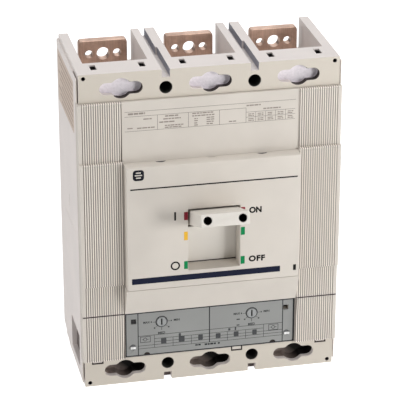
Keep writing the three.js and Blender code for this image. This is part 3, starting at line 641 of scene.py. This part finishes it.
def print_label():
    """Rating label under the terminals, with dashes in place of its words."""
    lines = Sheet("front", LABEL_FRONT)
    for u0, u1, v in ((-68, 67.6, 102.2), (-68, 27.8, 98.2), (-68, 27.8, 86.1), (27.8, 67, 94.6),
                      (27.8, 67, 90.4), (27.8, 67, 86.2)):
        lines.bar(u0, u1, v - 0.13, v + 0.13)
    for u in (-42.3, -18, 6.6, 27.7):
        lines.bar(u - 0.15, u + 0.15, 86.1, 98.2)
    for u in (35.4, 43.3, 51.3, 59.3):
        lines.bar(u - 0.13, u + 0.13, 86.2, 94.6)
    lines.build("label_lines", INKS["line"])

    text = Sheet("front", LABEL_FRONT)
    rows = (
        (-65.4, -52, 100.4, 1.5), (28, 39.4, 100.1, 1.1), (-53.4, -45.8, 95.5, 1.0),
        (-66, -61, 88.6, 0.9), (-58.4, -44.6, 88.3, 1.0),
        (-36.4, -26, 96.7, 1.1), (-37.8, -24, 94.4, 1.0), (-41, -29, 91.9, 1.1), (-36.6, -22, 88.9, 0.9),
        (-36.6, -23, 87.3, 0.9), (-15, 2.6, 97.0, 1.0), (-15, 2.6, 95.0, 1.0), (-13.4, -10.6, 92.6, 0.9),
        (-3.7, 2.4, 92.9, 0.9), (-13.4, -10.6, 90.9, 0.9), (-3.7, 2.4, 91.2, 0.9), (-13.4, -10.6, 89.0, 0.9),
        (-3.7, 2.4, 89.4, 0.9), (-13.4, -10.6, 87.3, 0.9), (-3.7, 2.4, 87.6, 0.9),
        (14, 19.8, 88.0, 0.9), (41.4, 55.4, 96.6, 1.0),
    )
    for k, (u0, u1, v, height) in enumerate(rows):
        text.words(u0, u1, v, height, 20 + k, 0.45)
    for k, (u, v) in enumerate((u, v) for u in (29.5, 37, 45, 53, 61) for v in (92.9, 91.5, 88.9, 87.5)):
        text.words(u, u + 4.6, v, 0.75, 60 + k, 0.5)
    text.build("label_dashes", INKS["faint"])

    plate = Sheet("left", SIDE_X)
    plate.shape(rounded(-84, -5, 81, 124, 2))
    plate.build("side_label", INKS["tan"])
    rows = Sheet("left", SIDE_X - LIFT / 2)
    for k in range(9):
        rows.words(-80, -9 - 7 * (k % 3), 119.5 - 4.3 * k, 1.9, 90 + k, 1.1)
    rows.build("side_label_dashes", INKS["brown"])


# ---- painted shade and light in holes and openings, and springs ----------------------------------


def access_outline(inset, count=96, u=0.0, v=0.0):
    """Outline of a screwdriver opening: a round middle that runs through fillets into a lobe on each side.
    The points are evenly spread in angle, and inset moves them inwards."""
    fillet_v = ACCESS["r_lobe"] + ACCESS["fillet"]
    fillet_u = math.sqrt((ACCESS["r"] + ACCESS["fillet"]) ** 2 - fillet_v**2)
    join = math.atan2(fillet_v, fillet_u)
    points = []
    for k in range(count):
        angle = 2 * math.pi * k / count
        c, s = math.cos(angle), math.sin(angle)
        flat = math.atan2(abs(s), abs(c))
        if flat >= join:
            r = ACCESS["r"]
        elif flat >= math.atan2(ACCESS["r_lobe"], fillet_u):
            near = abs(c) * fillet_u + abs(s) * fillet_v
            r = near - math.sqrt(max(0.0, near**2 - fillet_u**2 - fillet_v**2 + ACCESS["fillet"] ** 2))
        elif flat >= math.atan2(ACCESS["r_lobe"], ACCESS["lobe"]):
            r = ACCESS["r_lobe"] / abs(s)
        else:
            near = abs(c) * ACCESS["lobe"]
            r = near + math.sqrt(near**2 - ACCESS["lobe"] ** 2 + ACCESS["r_lobe"] ** 2)
        points.append((u + (r - inset) * c, v + (r - inset) * s))
    return points


def behind_front(u, v, depth):
    """A point on the terminal sections' front, sunk into it by depth."""
    return Vector((u, SECTION_FRONT + depth, v)) * MM


def along_handle(u, v, depth):
    """A point on the handle's end, sunk along the handle by depth."""
    return (HANDLE_PIVOT + Matrix.Rotation(-HANDLE_TILT, 3, "X") @ Vector((u, HANDLE_TIP + depth, v))) * MM


def below_end(end):
    """Places points by x, y and depth under the top (1) or bottom (-1) face of the terminal sections."""
    return lambda u, v, depth: Vector((u, v, end * (SECTION_END - depth))) * MM


def block(bm, place, outline, start, depth):
    """A solid with the given outline from start to depth."""
    near, far = ([bm.verts.new(place(u, v, d)) for u, v in outline] for d in (start, depth))
    bm.faces.new(near)
    bm.faces.new(far[::-1])
    for i in range(len(outline)):
        bm.faces.new((near[i], near[i - 1], far[i - 1], far[i]))


def sleeve(bm, place, outer, inner, start, depth, floor):
    """A closed wall from start to depth between two outlines, with a floor behind it if floor is above 0."""
    rim_out, rim_in = ([bm.verts.new(place(u, v, start)) for u, v in line] for line in (outer, inner))
    end_in = [bm.verts.new(place(u, v, depth)) for u, v in inner]
    end_out = [bm.verts.new(place(u, v, depth + floor)) for u, v in outer]
    bands = [(rim_out, rim_in), (rim_in, end_in), (end_out, rim_out)]
    if floor > 0:
        bm.faces.new(end_in)
        bm.faces.new(end_out)
    else:
        bands.append((end_in, end_out))
    for i in range(len(outer)):
        for p, q in bands:
            bm.faces.new((p[i], p[i - 1], q[i - 1], q[i]))


def shadow_lip(bm, x, z, depth):
    """Painted shadow: a dark strip along the lower right wall of an opening, shallow at both ends."""
    inner, outer = (access_outline(inset, 96, x, z) for inset in (0.35, -0.2))
    picked = range(-35, 12)
    rings = []
    for k in picked:
        share = min(1.0, (k + 35.5) / 7, (12.5 - k) / 5)
        reach = 0.15 + depth * math.sqrt(max(share, 0.0))
        rings.append([bm.verts.new(behind_front(*line[k], d)) for line, d in
                      ((outer, 0.15), (inner, 0.15), (inner, reach), (outer, reach))])
    for a, b in zip(rings, rings[1:]):
        for i in range(4):
            bm.faces.new((a[i], a[i - 1], b[i - 1], b[i]))
    bm.faces.new(rings[0])
    bm.faces.new(rings[-1][::-1])


def make_linings():
    """Painted shade and light in the bores, holes and openings: dark linings as painted shade in the handle
    bores, mounting bores, pockets and corner holes; pale caps that stand in for the lit bay behind the upper
    screwdriver openings, with painted shadow along their walls; dark backs with painted light in the lower
    openings; dark blocks as painted shade in the bottom barrier slots; and darker sheets on the side recess
    floors.
    """
    # Painted shade: black linings in the handle's two bores.
    bores = bmesh.new()
    for x in (-HANDLE_BORE["x"], HANDLE_BORE["x"]):
        sleeve(bores, along_handle, circle(HANDLE_BORE["outer"], 32, x), circle(HANDLE_BORE["inner"], 32, x),
               0.5, 18, 1)
    build(bores, "handle_bore_shades", INKS["black"], "handle", 0.6)

    # Painted shade: dark linings down the mounting bores.
    bore_shades = bmesh.new()
    for x in GAPS:
        for z in (HOLE_Z, -HOLE_Z):
            sleeve(bore_shades, behind_front, circle(MOUNT_BORE["outer"], 40, x, z),
                   circle(MOUNT_BORE["inner"], 40, x, z), 0.5, MOUNT_BORE["depth"], 0)
    build(bore_shades, "mounting_bore_shades", INKS["bushing"], "case", 0.6)

    lower_wells, lit_caps, lips = bmesh.new(), bmesh.new(), bmesh.new()
    # Dark backs with painted shade and light in the lower openings, pale caps painted as the lit bay in the
    # upper ones, and painted shadow along the upper walls.
    for x in POLES:
        for bm, z, start, depth in ((lower_wells, -ACCESS["z"], 4.5, 14), (lit_caps, ACCESS["z"], 5, 6.4)):
            sleeve(bm, behind_front, access_outline(-0.2, 96, x, z), access_outline(0.2, 96, x, z),
                   start, depth, 1)
        shadow_lip(lips, x, ACCESS["z"], 5.0)
    build(lower_wells, "access_shade_wells_lower", INKS["well"], "case", 0.6)
    build(lit_caps, "access_painted_light_caps_upper", INKS["cap"], "case", 0.6)
    build(lips, "access_shadow_lips_upper", INKS["gasket"], "case", 0.6)

    # Painted shade: dark linings in the square pockets and corner screw holes.
    pockets = bmesh.new()
    for x in POLES:
        for dx in (-POCKET["dx"], POCKET["dx"]):
            mouth = [rectangle(x + dx - POCKET["half"] + gap, x + dx + POCKET["half"] - gap,
                               POCKET["y0"] + gap, POCKET["y1"] - gap) for gap in (-0.2, 0.15)]
            for end in (1, -1):
                sleeve(pockets, below_end(end), *mouth, 1.3, 9, 1)
    for x in (-CORNER_HOLE["x"], CORNER_HOLE["x"]):
        for z in (CORNER_HOLE["z"], -CORNER_HOLE["z"]):
            sleeve(pockets, behind_front, circle(CORNER_HOLE["outer"], 20, x, z),
                   circle(CORNER_HOLE["inner"], 20, x, z), 0.4, 10, 1)
    build(pockets, "pocket_shade_linings", INKS["pocket"], "case", 0.6)

    # Painted shade: dark blocks in the bottom barrier slots.
    slot_shade_blocks = bmesh.new()
    for x in GAPS:
        block(slot_shade_blocks, behind_front, rounded(x - 3.1, x + 3.1, -133.6, -127.7, 0.5), 5.5, 34)
    build(slot_shade_blocks, "barrier_slot_fillers", INKS["recess"], "case")

    pads = bmesh.new()
    for side in (-1, 1):
        level = abs(SIDE_X) - SIDE_RECESS["depth"]
        block(pads, lambda y, z, out: Vector((side * (level + out), y, z)) * MM,
              rounded(*SIDE_RECESS["y"], *SIDE_RECESS["z"], 0.8), -LIFT, 0.3)
    build(pads, "side_recess_pads", INKS["recess"], "case")


def make_gap_shades():
    """Dark strips of painted shade in the narrow gaps between the molded pieces, and in the tool slots of the
    ledge.
    """
    shades = bmesh.new()
    near, far, below = GAP_SHADE_REACH["near"], GAP_SHADE_REACH["far"], GAP_SHADE_REACH["below"]
    for x in TONGUE["xs"]:
        left, right, low, high = x - TONGUE["half"], x + TONGUE["half"], TONGUE["z0"], TONGUE["z1"]
        for box in ((left - far, left - near, low - below, high),
                    (right + near, right + far, low - below, high),
                    (left - far, right + far, low - below, low - near)):
            block(shades, behind_front, rectangle(*box), -LIFT, 2.4)
    for side in (-1, 1):
        ends = sorted(side * x for x in SPLIT_X)
        block(shades, behind_front, rectangle(*ends, SPLIT - 0.5, SPLIT + 0.5), -CHEEK_PROUD - LIFT, -1.5)
        notch = [(side * NOTCH["x"] + NOTCH["r"] * math.cos(a), NOTCH["z"] + NOTCH["r"] * math.sin(a))
                 for a in (math.pi * k / 12 for k in range(13))]
        block(shades, behind_front, notch, 0.2, 0.9)
    sill = rectangle(-WINDOW["x"] + near, WINDOW["x"] - near, WINDOW["z0"] + 0.02, WINDOW["z0"] + 0.7)
    block(shades, behind_front, sill, 0.3, 0.6)
    build(shades, "gap_shade_strips", INKS["gasket"], "case")

    slots = bmesh.new()
    # Painted shade in the half-round tool slots in the ledge.
    r = TOOL_SLOTS["r"]
    middle = APRON_FRONT - TOOL_SLOTS["depth"] + r + 0.1
    reach = math.acos((middle - APRON_FRONT) / r)
    for x in TOOL_SLOTS["xs"]:
        turns = [reach * (k / 8 - 1) for k in range(17)]
        arc = [(x + r * math.sin(a), middle - r * math.cos(a)) for a in turns]
        block(slots, lambda u, v, out: Vector((u, v, ESC_TOP - out)) * MM, arc, 0.4, 1.6)
    build(slots, "tool_slot_pads", INKS["pocket"], "case")


def make_spring(name, x):
    """A closed-wound tension spring with round wire, from the anchor pin to the handle's yoke."""
    low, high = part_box(name)
    centre = Vector((x, (low.y + high.y) / 2 / MM, (low.z + high.z) / 2 / MM))
    along = Vector(SPRING["along"]).normalized()
    length, radius, wire, turns = SPRING["length"], SPRING["radius"], SPRING["wire"], SPRING["turns"]
    start = centre - along * (length / 2)
    side, up = Vector((1, 0, 0)), along.cross(Vector((1, 0, 0)))
    steps, sides = turns * 20, 10
    rings = []
    bm = bmesh.new()
    for k in range(steps + 1):
        turn = 2 * math.pi * turns * k / steps
        out = side * math.cos(turn) + up * math.sin(turn)
        spot = start + along * (length * k / steps) + out * radius
        rings.append([
            bm.verts.new((spot + (out * math.cos(2 * math.pi * i / sides)
                                  + along * math.sin(2 * math.pi * i / sides)) * wire) * MM)
            for i in range(sides)
        ])
    for a, b in zip(rings, rings[1:]):
        for i in range(sides):
            bm.faces.new((a[i], a[i - 1], b[i - 1], b[i]))
    bm.faces.new(rings[0])
    bm.faces.new(rings[-1][::-1])
    piece = build(bm, name + "_wound", MATERIALS["spring_steel"], "case", 0.9)
    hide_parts(name)


make_gap_shades()
print_escutcheon()
print_panel()
print_label()
make_linings()
make_spring("main_spring_left", -SPRING["x"])
make_spring("main_spring_right", SPRING["x"])

# ---- stage, light and camera ---------------------------------------------------------------------

SKY = 0.1
FLOOR_GLOW = 0.45
FLOOR_REACH = 8.0
CAMERA = {"azimuth": -12.13, "elevation": 23.7, "distance": 1.7233, "target": (0.0021, -0.05, 0.0007),
          "sensor": 36, "lens": 190.78}
LIGHTS = (
    ("overhead", (0.1, -0.2, 1.3), (0, -0.05, 0), (1.6, 1.2), 12.6),
    ("fill_left", (-1.5, -0.3, 0.3), (0, -0.05, 0), (1.2, 1.2), 9.2),
    ("key_near", (0.6, -0.95, 0.26), (0, -0.05, 0), (0.3, 0.3), 5.2),
    ("right_near", (0.75, -0.55, -0.25), (0, -0.05, 0), (0.4, 0.4), 5.0),
    ("back_top", (0.2, 1.4, 0.8), (0, -0.05, 0), (1.8, 0.8), 7.2),
)


def area_light(name, place, aim, size, power):
    """A rectangular light at place, turned towards aim, with its size in metres and power in watts."""
    data = bpy.data.lights.new(name, "AREA")
    data.shape = "RECTANGLE"
    data.size, data.size_y = size
    data.energy = power
    light = bpy.data.objects.new(name, data)
    light.location = place
    light.rotation_mode = "QUATERNION"
    light.rotation_quaternion = (Vector(aim) - Vector(place)).to_track_quat("-Z", "Y")
    bpy.context.scene.collection.objects.link(light)


def make_stage():
    """A pale floor, which the camera sees as white, and a faint even sky."""
    mesh = bpy.data.meshes.new("floor")
    outline = rectangle(-FLOOR_REACH, FLOOR_REACH, -FLOOR_REACH, FLOOR_REACH)
    corners = [(x, y, FLOOR_Z * MM) for x, y in outline]
    mesh.from_pydata(corners, [], [(0, 1, 2, 3)])
    floor = bpy.data.objects.new("floor", mesh)
    n = Nodes("floor")
    soft = n.noise(n.coords(), 0.004, 3.0)
    seen = n.add("ShaderNodeLightPath").outputs["Is Camera Ray"]
    n.finish(Base_Color=n.mix(soft, (0.5, 0.5, 0.5), (0.54, 0.54, 0.54)), Roughness=0.9,
             Emission_Color=(1, 1, 1, 1), Emission_Strength=n.ramp(seen, 0, 1, FLOOR_GLOW, 1.0))
    mesh.materials.append(n.material)
    bpy.context.scene.collection.objects.link(floor)

    world = bpy.data.worlds.new("studio")
    world.use_nodes = True
    background = world.node_tree.nodes["Background"]
    background.inputs["Color"].default_value = (1.0, 0.995, 0.99, 1)
    background.inputs["Strength"].default_value = SKY
    bpy.context.scene.world = world


def make_camera():
    """The camera stands 12 degrees to the left of the front and 24 degrees above it."""
    azimuth, elevation = math.radians(CAMERA["azimuth"]), math.radians(CAMERA["elevation"])
    back = Vector((
        math.sin(azimuth) * math.cos(elevation),
        -math.cos(azimuth) * math.cos(elevation),
        math.sin(elevation),
    ))
    data = bpy.data.cameras.new("camera")
    data.sensor_width = CAMERA["sensor"]
    data.lens = CAMERA["lens"]
    camera = bpy.data.objects.new("camera", data)
    camera.location = Vector(CAMERA["target"]) + back * CAMERA["distance"]
    camera.rotation_mode = "QUATERNION"
    camera.rotation_quaternion = (-back).to_track_quat("-Z", "Y")
    bpy.context.scene.collection.objects.link(camera)
    bpy.context.scene.camera = camera


make_stage()
for light in LIGHTS:
    area_light(*light)
make_camera()
bpy.context.scene.view_settings.view_transform = "Standard"
bpy.context.scene.view_settings.look = "None"
